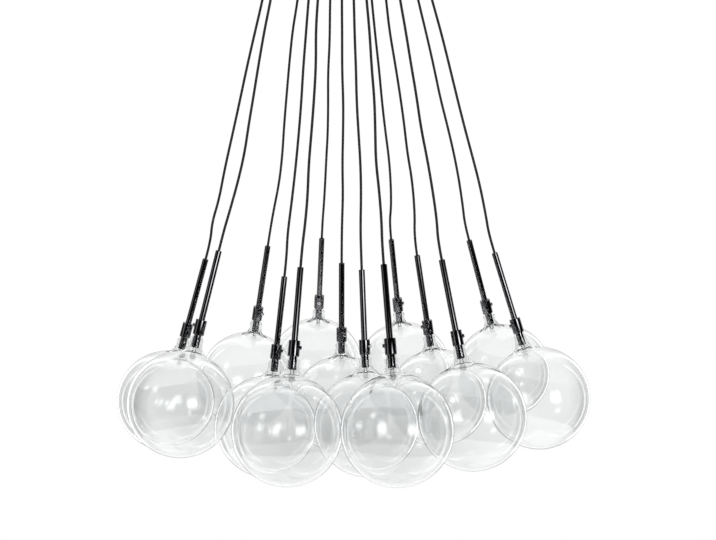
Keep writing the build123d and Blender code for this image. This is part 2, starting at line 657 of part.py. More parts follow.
write("ceiling_plate", make_ceiling_plate())
write("canopy_cover", make_canopy_cover(drops))
write("cover_screws", *[make_cover_screw(heading) for heading in TAB_HEADINGS])
write("cord_grips", *[make_grip(drop) for drop in drops])
write("grip_nuts", *[make_grip_nut(drop) for drop in drops])
write("transformer", *make_transformer())
write("terminal_block", make_terminal_block())

steepest = max(degrees(atan2(hypot(d.up.X, d.up.Y), d.up.Z)) for d in drops)
print(f"canopy radius {CANOPY_R:.1f}, steepest stem {steepest:.1f} degrees")
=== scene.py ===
"""Looks of a cluster pendant: fourteen clear glass globes on dark cords under one ceiling canopy.

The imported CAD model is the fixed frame. Each kind of piece is modelled once round the Z axis, with its
heights measured from its globe's centre, and is then copied to its place on the axis of every drop.
"""

from __future__ import annotations

import logging
from collections.abc import Callable
from dataclasses import dataclass, field
from enum import Enum
from math import asin, atan2, cos, degrees, hypot, pi, radians, sin, sqrt

import bpy
from mathutils import Matrix, Vector


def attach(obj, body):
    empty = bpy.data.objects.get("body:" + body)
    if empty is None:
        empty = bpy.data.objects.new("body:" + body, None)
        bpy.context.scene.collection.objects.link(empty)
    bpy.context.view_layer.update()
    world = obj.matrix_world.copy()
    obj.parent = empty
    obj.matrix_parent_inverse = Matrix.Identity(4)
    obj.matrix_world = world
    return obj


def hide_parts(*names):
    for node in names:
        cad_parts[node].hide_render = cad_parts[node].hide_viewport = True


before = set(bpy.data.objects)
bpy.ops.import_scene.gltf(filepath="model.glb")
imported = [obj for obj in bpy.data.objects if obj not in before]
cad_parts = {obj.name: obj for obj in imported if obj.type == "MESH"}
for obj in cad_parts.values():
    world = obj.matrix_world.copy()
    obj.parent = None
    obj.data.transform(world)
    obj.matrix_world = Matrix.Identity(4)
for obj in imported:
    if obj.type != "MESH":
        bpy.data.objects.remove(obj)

logging.basicConfig(level=logging.INFO, format="%(name)s: %(message)s")
log = logging.getLogger("pendant")

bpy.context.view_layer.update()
MM = 0.001
NEAR = 0.001 * MM
Outline = list[tuple[float, float]]
Colour = tuple[float, float, float, float]
Piece = bpy.types.Object
Node = bpy.types.Node
Socket = bpy.types.NodeSocket


# ---- shader maths


class Value:
    """A number that a shader works out, so that sums of sockets are written as sums."""

    def __init__(self, sheet: NodeSheet, socket: Socket) -> None:
        """Wrap one output socket of a node sheet."""
        self.sheet = sheet
        self.socket = socket

    def _math(self, operation: str, *numbers: Value | float) -> Value:
        """Return a Math node's result for these numbers, in order."""
        made = self.sheet.node("ShaderNodeMath", {"operation": operation}, dict(enumerate(numbers)))
        return Value(self.sheet, made.outputs[0])

    def __add__(self, other: Value | float) -> Value:
        """Return the sum."""
        return self._math("ADD", self, other)

    __radd__ = __add__

    def __sub__(self, other: Value | float) -> Value:
        """Return the difference."""
        return self._math("SUBTRACT", self, other)

    def __rsub__(self, other: float) -> Value:
        """Return a number less this one."""
        return self._math("SUBTRACT", other, self)

    def __mul__(self, other: Value | float) -> Value:
        """Return the product."""
        return self._math("MULTIPLY", self, other)

    __rmul__ = __mul__

    def above(self, limit: float) -> Value:
        """Return 1 where this is more than the limit, else 0."""
        return self._math("GREATER_THAN", self, limit)

    def either(self, other: Value | float) -> Value:
        """Return the larger of the two."""
        return self._math("MAXIMUM", self, other)

    def rise(self, low: float, high: float) -> Value:
        """Return a smooth step from 0 at low to 1 at high."""
        limits = {"Value": self, "From Min": low, "From Max": high}
        made = self.sheet.node("ShaderNodeMapRange", {"interpolation_type": "SMOOTHSTEP"}, limits)
        return Value(self.sheet, made.outputs["Result"])

    def band(self, start: float, full: float, fall: float, end: float) -> Value:
        """Return 1 from full to fall, with smooth flanks out to start and end, else 0."""
        return self.rise(start, full) * (1.0 - self.rise(fall, end))


class NodeSheet:
    """The node tree of one material or of the world, with one method that adds any node."""

    def __init__(self, owner: bpy.types.Material | bpy.types.World) -> None:
        """Empty the owner's node tree and take it over."""
        owner.use_nodes = True
        self.tree = owner.node_tree
        self.tree.nodes.clear()

    def node(
        self,
        kind: str,
        settings: dict[str, object] | None = None,
        sockets: dict[str | int, object] | None = None,
    ) -> Node:
        """Add a node.

        Args:
            kind: The node's type.
            settings: Its settings, such as a Math node's operation, which are set first.
            sockets: A value or a link for each input socket, by name or number.

        Returns:
            The new node.
        """
        made = self.tree.nodes.new(kind)
        for name, setting in (settings or {}).items():
            setattr(made, name, setting)
        for key, content in (sockets or {}).items():
            if isinstance(content, Value):
                self.tree.links.new(content.socket, made.inputs[key])
            elif isinstance(content, Socket):
                self.tree.links.new(content, made.inputs[key])
            else:
                made.inputs[key].default_value = content
        return made

    def blend(self, share: Value | float, first: object, second: object) -> Socket:
        """Return the colour that lies this share of the way from the first colour to the second."""
        made = self.node("ShaderNodeMix", {"data_type": "RGBA"}, {0: share, 6: first, 7: second})
        return made.outputs[2]

    def grain(self, scale: float, detail: float, stretch: Vector | None = None) -> Value:
        """Return a fine noise on the object's own coordinates.

        Args:
            scale: Cycles per metre.
            detail: Octaves.
            stretch: Scale of the noise along each axis, where it isn't even.

        Returns:
            The noise, about 0.5 on the average.
        """
        place = self.node("ShaderNodeTexCoord").outputs["Object"]
        if stretch is not None:
            place = self.node("ShaderNodeMapping", None, {"Vector": place, "Scale": stretch}).outputs[0]
        made = self.node("ShaderNodeTexNoise", None, {"Vector": place, "Scale": scale, "Detail": detail})
        return Value(self, made.outputs[0])

    def relief(self, height: Value, strength: float, distance: float) -> Socket:
        """Return the normal of a small relief."""
        shape = {"Height": height, "Strength": strength, "Distance": distance}
        return self.node("ShaderNodeBump", None, shape).outputs[0]

    def close(self, shader: Node) -> None:
        """Lead a shader to the sheet's output."""
        kind = "ShaderNodeOutputWorld" if shader.type == "BACKGROUND" else "ShaderNodeOutputMaterial"
        self.node(kind, None, {0: shader.outputs[0]})


# ---- finishes


class Slot(Enum):
    """The record's material slots."""

    CORD = "cord"
    BLACK_NICKEL = "black_nickel"
    CLEAR_GLASS = "clear_glass"
    LAMP_GLASS = "lamp_glass"
    BRIGHT_NICKEL = "bright_nickel"
    PLATE_STEEL = "plate_steel"
    CASE_PLASTIC = "case_plastic"


@dataclass(frozen=True)
class Finish:
    """One finish of the pendant: its name, its slot in the record and how it is shaded."""

    name: str
    slot: Slot

    def shade(self, sheet: NodeSheet) -> Node:
        """Add the finish's shader.

        Args:
            sheet: The material's node sheet.

        Returns:
            The shader node.
        """
        raise NotImplementedError

    def material(self) -> bpy.types.Material:
        """Return this finish's Blender material, which is made on first use."""
        found = bpy.data.materials.get(self.name)
        if found is None:
            found = bpy.data.materials.new(self.name)
            sheet = NodeSheet(found)
            sheet.close(self.shade(sheet))
        return found


@dataclass(frozen=True)
class BlownGlass(Finish):
    """Clear glass that bends light, and lets lamps and far sight lines straight through."""

    body: Colour = (0.985, 0.99, 0.99, 1.0)
    straight: Colour = (0.970, 0.972, 0.972, 1.0)
    ior: float = 1.5
    layers: float = 7.5
    thinness: float = 0.0

    def shade(self, sheet: NodeSheet) -> Node:
        """Mix the glass with a straight see-through shader for lamps and past a few layers."""
        glass = sheet.node("ShaderNodeBsdfPrincipled", None, {
            "Base Color": self.body, "Roughness": 0.0, "IOR": self.ior, "Transmission Weight": 1.0,
        })
        clear = sheet.node("ShaderNodeBsdfTransparent", None, {"Color": self.straight})
        path = sheet.node("ShaderNodeLightPath")
        lamp_ray = Value(sheet, path.outputs["Is Shadow Ray"])
        soft_ray = Value(sheet, path.outputs["Is Diffuse Ray"])
        depth = Value(sheet, path.outputs["Transmission Depth"])
        share = lamp_ray.either(soft_ray).either(depth.above(self.layers)).either(self.thinness)
        layers = {0: share, 1: glass.outputs[0], 2: clear.outputs[0]}
        return sheet.node("ShaderNodeMixShader", None, layers)


@dataclass(frozen=True)
class Plated(Finish):
    """Polished plating on turned metal, with the faint waviness of a buffed surface."""

    colour: Colour = (0.16, 0.16, 0.17, 1.0)
    worn: Colour = (0.2, 0.2, 0.21, 1.0)
    roughness: float = 0.03
    spread: float = 0.02

    def shade(self, sheet: NodeSheet) -> Node:
        """Vary the polish and the tone a little over the surface."""
        cloud = sheet.grain(90.0, 3.0)
        return sheet.node("ShaderNodeBsdfPrincipled", None, {
            "Base Color": sheet.blend(cloud.rise(0.35, 0.75), self.colour, self.worn),
            "Metallic": 1.0,
            "Roughness": cloud * self.spread + self.roughness,
        })


@dataclass(frozen=True)
class Moulded(Finish):
    """Plastic, enamel or ceramic with a fine grain."""

    colour: Colour = (0.85, 0.85, 0.84, 1.0)
    shade_colour: Colour = (0.78, 0.78, 0.77, 1.0)
    roughness: float = 0.45
    grain_scale: float = 1400.0
    grain_depth: float = 0.12

    def shade(self, sheet: NodeSheet) -> Node:
        """Break up the colour and the gloss with two sizes of grain."""
        cloud = sheet.grain(60.0, 4.0)
        fine = sheet.grain(self.grain_scale, 2.0)
        return sheet.node("ShaderNodeBsdfPrincipled", None, {
            "Base Color": sheet.blend(cloud.rise(0.3, 0.8), self.colour, self.shade_colour),
            "Roughness": fine * 0.12 + (self.roughness - 0.06),
            "Normal": sheet.relief(fine, self.grain_depth, 0.0002),
        })


@dataclass(frozen=True)
class CordJacket(Finish):
    """The cord's smooth charcoal jacket, very slightly drawn along its length."""

    colour: Colour = (0.016, 0.0165, 0.018, 1.0)
    rubbed: Colour = (0.03, 0.031, 0.034, 1.0)
    roughness: float = 0.5

    def shade(self, sheet: NodeSheet) -> Node:
        """Draw the grain out along the hanging cords."""
        drawn = sheet.grain(700.0, 3.0, Vector((1.0, 1.0, 0.12)))
        cloud = sheet.grain(40.0, 2.0)
        return sheet.node("ShaderNodeBsdfPrincipled", None, {
            "Base Color": sheet.blend(drawn.rise(0.4, 0.8), self.colour, self.rubbed),
            "Roughness": cloud * 0.15 + self.roughness,
            "Specular IOR Level": 0.3,
            "Normal": sheet.relief(drawn, 0.06, 0.0002),
        })


@dataclass(frozen=True)
class Wire(Finish):
    """Bare wire: tungsten, molybdenum or nickel."""

    colour: Colour = (0.2, 0.2, 0.2, 1.0)
    tip: Colour = (0.3, 0.3, 0.3, 1.0)
    roughness: float = 0.3

    def shade(self, sheet: NodeSheet) -> Node:
        """Streak the wire along its length."""
        streak = sheet.grain(1500.0, 2.0, Vector((1.0, 1.0, 0.2)))
        return sheet.node("ShaderNodeBsdfPrincipled", None, {
            "Base Color": sheet.blend(streak, self.colour, self.tip),
            "Metallic": 1.0,
            "Roughness": streak * 0.2 + self.roughness,
        })


@dataclass(frozen=True)
class Finishes:
    """Every finish of the pendant."""

    glass: Finish = BlownGlass("clear_blown_glass", Slot.CLEAR_GLASS)
    bulb: Finish = BlownGlass(
        "quartz_bulb_glass", Slot.LAMP_GLASS, body=(0.97, 0.97, 0.97, 1.0),
        straight=(0.97, 0.97, 0.97, 1.0), thinness=0.8,
    )
    black: Finish = Plated("black_nickel_plating", Slot.BLACK_NICKEL)
    bright: Finish = Plated(
        "bright_nickel_plating", Slot.BRIGHT_NICKEL, colour=(0.72, 0.72, 0.73, 1.0),
        worn=(0.62, 0.62, 0.63, 1.0), roughness=0.12,
    )
    dark_screw: Finish = Plated(
        "blackened_screw_steel", Slot.BLACK_NICKEL, colour=(0.05, 0.05, 0.055, 1.0),
        worn=(0.09, 0.09, 0.09, 1.0), roughness=0.25,
    )
    ring: Finish = Moulded(
        "black_ring_enamel", Slot.BLACK_NICKEL, colour=(0.012, 0.012, 0.013, 1.0),
        shade_colour=(0.022, 0.022, 0.023, 1.0), roughness=0.3, grain_depth=0.05,
    )
    bush: Finish = Moulded(
        "dark_bush_nylon", Slot.BLACK_NICKEL, colour=(0.02, 0.02, 0.021, 1.0),
        shade_colour=(0.035, 0.035, 0.036, 1.0), roughness=0.5,
    )
    ceramic: Finish = Moulded(
        "lampholder_ceramic", Slot.CASE_PLASTIC, colour=(0.82, 0.81, 0.78, 1.0),
        shade_colour=(0.74, 0.73, 0.7, 1.0), roughness=0.6,
    )
    case: Finish = Moulded("transformer_case_plastic", Slot.CASE_PLASTIC)
    plate: Finish = Moulded(
        "painted_plate_steel", Slot.PLATE_STEEL, colour=(0.75, 0.75, 0.76, 1.0),
        shade_colour=(0.7, 0.7, 0.71, 1.0), roughness=0.35, grain_scale=500.0,
    )
    cord: Finish = CordJacket("charcoal_cord_jacket", Slot.CORD)
    lead: Finish = Wire("dark_lead_wire", Slot.BRIGHT_NICKEL, colour=(0.02, 0.02, 0.02, 1.0),
                        tip=(0.05, 0.05, 0.05, 1.0))
    coil: Finish = Wire("tungsten_coil_wire", Slot.BRIGHT_NICKEL, colour=(0.35, 0.35, 0.36, 1.0),
                        tip=(0.55, 0.55, 0.56, 1.0))


FINISH = Finishes()


# ---- the workbench


class Bench:
    """Modelling moves that every piece shares, made with Blender's own operators."""

    SMOOTH = radians(32.0)

    @staticmethod
    def clear() -> None:
        """Leave edit mode and let go of everything."""
        if bpy.context.object is not None and bpy.context.object.mode != "OBJECT":
            bpy.ops.object.mode_set(mode="OBJECT")
        bpy.ops.object.select_all(action="DESELECT")

    @staticmethod
    def pick(piece: Piece) -> None:
        """Select this piece alone and make it the active one."""
        Bench.clear()
        piece.select_set(True)
        bpy.context.view_layer.objects.active = piece

    @staticmethod
    def choose(piece: Piece, wanted: Callable[[Vector], bool]) -> None:
        """Select the vertices whose place fits a test, and go on in edit mode.

        Args:
            piece: The piece that is being edited.
            wanted: The test.
        """
        bpy.ops.object.mode_set(mode="OBJECT")
        mesh = piece.data
        for group in (mesh.vertices, mesh.edges, mesh.polygons):
            group.foreach_set("select", [False] * len(group))
        for vertex in mesh.vertices:
            vertex.select = wanted(vertex.co)
        bpy.ops.object.mode_set(mode="EDIT")
        bpy.ops.mesh.select_mode(type="VERT")

    @staticmethod
    def turn(name: str, outline: Outline, steps: int, closed: bool = True) -> Piece:
        """Turn a piece on the lathe.

        Args:
            name: The piece's name.
            outline: Radii and heights in millimetres, in order along the outline.
            steps: Flats round the axis.
            closed: Whether the outline comes back to its start, as that of a tube does.

        Returns:
            The piece, round the Z axis.
        """
        Bench.clear()
        bpy.ops.mesh.primitive_plane_add(size=MM, location=(0.0, 0.0, 0.0))
        piece = bpy.context.object
        piece.name = name
        bpy.ops.object.mode_set(mode="EDIT")
        bpy.ops.mesh.select_mode(type="VERT")
        bpy.ops.mesh.select_all(action="SELECT")
        bpy.ops.mesh.merge(type="CENTER")
        here_r, here_z = outline[0]
        bpy.ops.transform.translate(value=(here_r * MM, 0.0, here_z * MM))
        for radius, height in outline[1:] + (outline[:1] if closed else []):
            step = ((radius - here_r) * MM, 0.0, (height - here_z) * MM)
            bpy.ops.mesh.extrude_region_move(TRANSFORM_OT_translate={"value": step})
            here_r, here_z = radius, height
        bpy.ops.mesh.select_all(action="SELECT")
        bpy.ops.mesh.spin(steps=steps, angle=2 * pi, center=(0, 0, 0), axis=(0, 0, 1))
        bpy.ops.mesh.select_all(action="SELECT")
        bpy.ops.mesh.remove_doubles(threshold=2 * NEAR)
        bpy.ops.mesh.normals_make_consistent(inside=False)
        bpy.ops.object.mode_set(mode="OBJECT")
        return piece

    @staticmethod
    def sink_socket(piece: Piece, top: float, across: float, depth: float) -> None:
        """Sink a hexagon socket into the flat end of a screw that stands along Z.

        Args:
            piece: The screw, whose end at the top is one ring with an open middle.
            top: Height of that end in millimetres.
            across: The socket's width across flats in millimetres.
            depth: Its depth in millimetres.
        """
        corner, level = across / sqrt(3) * MM, top * MM
        Bench.pick(piece)
        bpy.ops.object.mode_set(mode="EDIT")
        bpy.ops.mesh.select_all(action="DESELECT")
        bpy.ops.mesh.primitive_circle_add(vertices=6, radius=corner, location=(0.0, 0.0, level))

        def at_end(reach: float) -> Callable[[Vector], bool]:
            """Return the test for vertices at the end's height, within reach of the axis."""
            return lambda place: abs(place.z - level) < NEAR and hypot(place.x, place.y) < reach

        Bench.choose(piece, at_end(1.3 * corner))
        bpy.ops.mesh.select_mode(type="EDGE")
        bpy.ops.mesh.bridge_edge_loops()
        Bench.choose(piece, at_end(1.01 * corner))
        bpy.ops.mesh.extrude_region_move(TRANSFORM_OT_translate={"value": (0, 0, -depth * MM)})
        bpy.ops.mesh.edge_face_add()
        bpy.ops.mesh.select_all(action="SELECT")
        bpy.ops.mesh.normals_make_consistent(inside=False)
        bpy.ops.object.mode_set(mode="OBJECT")

    @staticmethod
    def draw(name: str, routes: list[list[Vector]], radius: float, smooth: bool) -> Piece:
        """Draw a cord or wires as round lines.

        Args:
            name: The piece's name.
            routes: Each line's points in millimetres.
            radius: The lines' own radius in millimetres.
            smooth: Whether a line bends smoothly by its points, as a cord does, or runs straight
                from point to point.

        Returns:
            The curve object.
        """
        curve = bpy.data.curves.new(name, "CURVE")
        curve.dimensions = "3D"
        curve.bevel_depth = radius * MM
        curve.bevel_resolution = 5 if smooth else 2
        curve.resolution_u = 10
        curve.use_fill_caps = True
        for route in routes:
            spline = curve.splines.new("NURBS" if smooth else "POLY")
            spline.points.add(len(route) - 1)
            for point, place in zip(spline.points, route):
                point.co = (*(place * MM), 1.0)
            if smooth:
                spline.order_u = 3
                spline.use_endpoint_u = True
        piece = bpy.data.objects.new(name, curve)
        bpy.context.scene.collection.objects.link(piece)
        return piece

    @staticmethod
    def copy(pattern: Piece, name: str, where: Matrix) -> Piece:
        """Copy a pattern piece, and bake its place into its mesh, so that its object stays at the origin.

        Args:
            pattern: The piece on the bench.
            name: The copy's name.
            where: The move from the bench to the copy's place.

        Returns:
            The copy, with a mesh of its own.
        """
        Bench.pick(pattern)
        bpy.ops.object.duplicate(linked=False)
        piece = bpy.context.object
        piece.name = name
        piece.matrix_world = where @ piece.matrix_world
        bpy.ops.object.transform_apply(location=True, rotation=True, scale=True)
        return piece

    @staticmethod
    def dress(piece: Piece, finish: Finish) -> Piece:
        """Smooth a piece up to its sharp edges and give it its finish.

        Args:
            piece: The piece.
            finish: Its finish.

        Returns:
            The same piece.
        """
        Bench.pick(piece)
        bpy.ops.object.shade_smooth_by_angle(angle=Bench.SMOOTH)
        piece.data.materials.clear()
        piece.data.materials.append(finish.material())
        return piece

    @staticmethod
    def scrap(*patterns: Piece) -> None:
        """Take patterns off the bench once all their copies are made."""
        for pattern in patterns:
            mesh = pattern.data
            bpy.data.objects.remove(pattern)
            bpy.data.meshes.remove(mesh)


def arc(centre: tuple[float, float], radius: float, start: float, end: float, count: int) -> Outline:
    """Return points on an arc of an outline.

    Args:
        centre: The arc's centre, as a radius and a height.
        radius: The arc's own radius.
        start: Where it starts, in degrees from straight outwards towards up.
        end: Where it ends, in degrees.
        count: How many steps it takes.

    Returns:
        The points, both ends included.
    """
    turns = [radians(start + (end - start) * step / count) for step in range(count + 1)]
    return [(centre[0] + radius * cos(turn), centre[1] + radius * sin(turn)) for turn in turns]


def tube(bore_r: float, outer_r: float, low: float, high: float) -> Outline:
    """Return the four corners of a plain tube, from the lower end of its bore to the upper."""
    return [(bore_r, low), (outer_r, low), (outer_r, high), (bore_r, high)]


def rounded(outline: Outline, sizes: dict[int, float], count: int = 4) -> Outline:
    """Round some corners of an outline.

    Args:
        outline: The outline's corners.
        sizes: For each corner to be rounded, by number, how far back the rounding starts.
        count: Steps of each rounding.

    Returns:
        The outline with those corners replaced by short curves.
    """
    made: Outline = []
    for number, corner in enumerate(outline):
        if number not in sizes:
            made.append(corner)
            continue
        here = Vector(corner)
        before = Vector(outline[number - 1])
        after = Vector(outline[(number + 1) % len(outline)])
        start = here + (before - here).normalized() * sizes[number]
        end = here + (after - here).normalized() * sizes[number]
        for step in range(count + 1):
            share = step / count
            point = start * (1 - share) ** 2 + here * 2 * share * (1 - share) + end * share**2
            made.append((point.x, point.y))
    return made


# ---- the cluster's lay-out


@dataclass(frozen=True)
class Layout:
    """Sizes, in millimetres, that place the drops."""

    globe_pitch: float = 161.0
    grip_pitch: float = 66.0
    fan_radius: float = 1030.0
    fan_height: float = 270.0
    canopy_height: float = 52.0
    grip_flange: float = 7.0


LAYOUT = Layout()


@dataclass(frozen=True)
class Drop:
    """One hanging globe: its place, its screws' headings and the waves of its cord."""

    number: int
    east: float
    north: float
    extra: float
    thumb_heading: float
    grub_heading: float
    waves: tuple[tuple[float, float, float], ...]

    @property
    def tag(self) -> str:
        """Return the drop's two-figure number."""
        return f"{self.number:02d}"

    @property
    def inner(self) -> bool:
        """Tell whether the drop hangs inside the ring and can't swing."""
        return self.number in (4, 7, 8, 11)

    @property
    def body(self) -> str:
        """Return the name of the body that carries the drop's fitting."""
        return "canopy" if self.inner else f"drop_{self.tag}"

    @property
    def centre(self) -> Vector:
        """Return the globe's centre in millimetres."""
        x, y = self.east * LAYOUT.globe_pitch, self.north * LAYOUT.globe_pitch
        fall = sqrt((LAYOUT.fan_radius + self.extra) ** 2 - x**2 - y**2)
        return Vector((x, y, LAYOUT.fan_height - fall))

    @property
    def mouth(self) -> Vector:
        """Return the point in millimetres where the cord leaves its grip."""
        level = -LAYOUT.canopy_height - LAYOUT.grip_flange
        return Vector((self.east * LAYOUT.grip_pitch, self.north * LAYOUT.grip_pitch, level))

    def axes(self) -> tuple[Vector, Vector, Vector]:
        """Return the drop's own east, north and up."""
        up = (Vector((0.0, 0.0, LAYOUT.fan_height)) - self.centre).normalized()
        east = Vector((0.0, 1.0, 0.0)).cross(up).normalized()
        return east, up.cross(east), up

    def matrix(self) -> Matrix:
        """Return the move from the bench to the drop's place, in metres."""
        turned = Matrix(self.axes()).transposed().to_4x4()
        return Matrix.Translation(self.centre * MM) @ turned

    def side(self, height: float, heading: float) -> Matrix:
        """Return the move that lays a screw, made along +Z, outwards from the axis.

        Args:
            height: The screw's height above the globe's centre in millimetres.
            heading: Its heading in degrees round the drop's axis.

        Returns:
            The move, in metres.
        """
        lay = Matrix.Rotation(pi / 2, 4, "Y")
        head = Matrix.Rotation(radians(heading), 4, "Z")
        return self.matrix() @ Matrix.Translation((0.0, 0.0, height * MM)) @ head @ lay

    def at(self, height: float) -> Vector:
        """Return the point of the drop's axis at this height, in millimetres."""
        return self.centre + self.axes()[2] * height


DROPS = (
    Drop(1, -1.75, 0.13, 14, 90, 90, (
        (0.10, 0.5, 0.5), (0.21, -0.5, 1.5), (0.33, -1.0, 1.0), (0.45, -0.5, -0.5),
        (0.56, -0.5, -1.0), (0.68, -1.0, 0.5), (0.79, 0.5, 1.0), (0.87, -2.5, 0.5))),
    Drop(2, -1.50, -0.86, -10, 180, -30, (
        (0.11, 1.0, -0.5), (0.22, 1.0, -1.5), (0.34, 2.5, 0.0), (0.45, 4.5, 1.5),
        (0.55, 6.0, 1.0), (0.65, 8.5, 0.5), (0.75, 7.5, -1.0), (0.86, 4.0, 0.0))),
    Drop(3, -1.02, 1.09, -5, -30, 90, (
        (0.10, -0.5, 1.0), (0.19, -2.5, 1.0), (0.30, -1.5, 0.0), (0.42, 0.5, -1.0),
        (0.54, 2.5, 0.5), (0.65, 5.5, 1.5), (0.75, 6.0, 1.0), (0.86, 2.5, 0.5))),
    Drop(4, -0.73, -0.21, 13, 0, 90, (
        (0.10, 0.0, 0.5), (0.21, 0.5, 1.5), (0.32, 1.0, 0.5), (0.42, 2.5, -0.5),
        (0.53, 3.0, -1.5), (0.65, 2.5, 0.0), (0.76, 1.0, 1.0), (0.86, -1.0, 0.5))),
    Drop(5, -0.48, -1.49, 2, 0, 180, (
        (0.10, -0.5, -1.0), (0.22, -0.5, 0.5), (0.33, 3.0, 1.0), (0.44, 3.5, 0.5),
        (0.55, 3.0, 1.5), (0.66, 2.0, 0.5), (0.77, 3.5, -0.5), (0.86, 2.5, 0.0))),
    Drop(6, -0.31, 1.80, 0, -90, 90, (
        (0.11, 0.5, 0.5), (0.23, 2.0, -0.5), (0.35, 1.0, -1.0), (0.47, 3.0, 0.5),
        (0.58, 4.0, 1.0), (0.68, 3.0, 0.0), (0.78, 2.5, 1.0), (0.87, 1.5, 0.5))),
    Drop(7, -0.02, 0.55, -2, -60, -95, (
        (0.10, 0.0, -0.5), (0.21, 0.5, -1.5), (0.33, 0.5, 0.5), (0.44, 2.5, 1.0),
        (0.55, 2.0, 0.0), (0.65, 1.0, -1.0), (0.76, 2.0, 0.5), (0.86, 0.5, 1.0))),
    Drop(8, 0.24, -0.59, -4, -30, -120, (
        (0.10, 0.5, 0.5), (0.22, 0.0, 1.5), (0.33, 0.5, 0.5), (0.44, 0.0, -1.0),
        (0.55, 1.5, -0.5), (0.65, 3.0, 0.5), (0.75, 2.5, 1.5), (0.86, 0.0, 0.5))),
    Drop(9, 0.49, -1.78, 4, 180, -110, (
        (0.11, 0.5, -1.0), (0.23, 2.0, -0.5), (0.35, 1.5, 1.0), (0.46, 2.5, 0.5),
        (0.57, 0.5, -0.5), (0.66, -1.5, 0.5), (0.76, 0.5, 1.0), (0.86, 1.0, -0.5))),
    Drop(10, 0.65, 1.51, -7, 0, 90, (
        (0.10, 0.5, 0.5), (0.22, 1.5, -0.5), (0.34, 3.0, -1.0), (0.46, 3.5, 0.5),
        (0.57, 5.0, 1.5), (0.68, 7.5, 1.0), (0.78, 7.0, -0.5), (0.87, 4.5, 0.5))),
    Drop(11, 0.96, 0.32, -10, 180, 90, (
        (0.10, -0.5, 0.5), (0.20, -1.0, -1.0), (0.31, 1.5, -0.5), (0.42, 3.5, 1.0),
        (0.53, 4.5, 0.5), (0.63, 4.0, -0.5), (0.73, 6.5, 0.5), (0.85, 4.5, 1.0))),
    Drop(12, 1.20, -1.07, -3, 0, -100, (
        (0.10, 0.0, -0.5), (0.22, 1.0, 0.5), (0.33, 1.0, 1.5), (0.44, 1.5, 0.0),
        (0.55, 0.5, -1.0), (0.66, 2.5, 0.5), (0.77, 3.0, 1.0), (0.87, 2.0, -0.5))),
    Drop(13, 1.68, 1.02, 1, 0, 90, (
        (0.11, 1.0, 0.5), (0.23, 2.5, 1.5), (0.34, 3.0, 0.5), (0.45, 2.5, -1.0),
        (0.56, 4.5, -0.5), (0.67, 5.5, 1.0), (0.77, 4.5, 0.5), (0.87, 1.5, -0.5))),
    Drop(14, 1.90, -0.28, 6, 180, 180, (
        (0.11, 1.0, -0.5), (0.22, 2.5, 0.5), (0.33, 2.5, 1.5), (0.44, 2.0, -0.5),
        (0.55, 2.0, -1.0), (0.66, 3.0, 0.5), (0.76, 3.5, 1.0), (0.87, 1.0, 0.5))),
)


# ---- sub-assemblies


@dataclass(frozen=True)
class GlobeGlass:
    """The blown globe with its flared neck and the lip that goes up into the collar."""

    radius: float = 80.0
    wall: float = 3.0
    neck_r: float = 10.2
    neck_wall: float = 1.4
    collar_base: float = 107.0
    flare_outside: float = 16.0
    flare_inside: float = 18.0
    shoulder: float = 9.0
    lip_bore_r: float = 6.6
    lip_wall: float = 0.9
    lip_top: float = 122.5
    ease: float = 0.25
    flats: int = 96
    rows: int = 64

    def _skin(self, sphere_r: float, neck_r: float, flare: float, lip_r: float) -> Outline:
        """Return one side of the glass, from the bottom of the sphere up to the lip.

        Args:
            sphere_r: Radius of the sphere on this side.
            neck_r: Radius of the neck on this side.
            flare: Radius of the rounding between them.
            lip_r: Radius of the lip on this side.

        Returns:
            Its outline.
        """
        flare_r = neck_r + flare
        flare_z = sqrt((sphere_r + flare) ** 2 - flare_r**2)
        meet = degrees(atan2(flare_z, flare_r))
        lip_base = self.collar_base - self.ease
        half_h, half_s = self.shoulder / 2, (neck_r - lip_r) / 2
        bend = (half_h**2 + half_s**2) / (2 * half_s)
        lean = degrees(asin(half_h / bend))
        neck_top = lip_base - self.shoulder
        skin = arc((0.0, 0.0), sphere_r, -90.0, meet, self.rows)
        skin[0] = (0.0, -sphere_r)
        skin += arc((flare_r, flare_z), flare, 180.0 + meet, 180.0, 9)[1:]
        skin += arc((neck_r - bend, neck_top), bend, 0.0, lean, 5)
        skin += arc((lip_r + bend, lip_base), bend, 180.0 + lean, 180.0, 5)[1:]
        return skin

    def pattern(self) -> Piece:
        """Blow the globe: both skins of the wall, joined by a fire-polished rim."""
        lip_r = self.lip_bore_r + self.lip_wall
        neck_bore_r = self.neck_r - self.neck_wall
        outside = self._skin(self.radius, self.neck_r, self.flare_outside, lip_r)
        inside = self._skin(self.radius - self.wall, neck_bore_r, self.flare_inside, self.lip_bore_r)
        half = self.lip_wall / 2
        rim = arc((self.lip_bore_r + half, self.lip_top - half), half, 0.0, 180.0, 6)
        piece = Bench.turn("globe_pattern", outside + rim + inside[::-1], self.flats, closed=False)
        return Bench.dress(piece, FINISH.glass)

    def hang(self, drop: Drop, pattern: Piece) -> None:
        """Hang a copy of the globe on its drop."""
        globe = Bench.copy(pattern, f"glass_globe_{drop.tag}", drop.matrix())
        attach(globe, f"shade_{drop.tag}")
        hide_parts(f"globe_{drop.tag}")


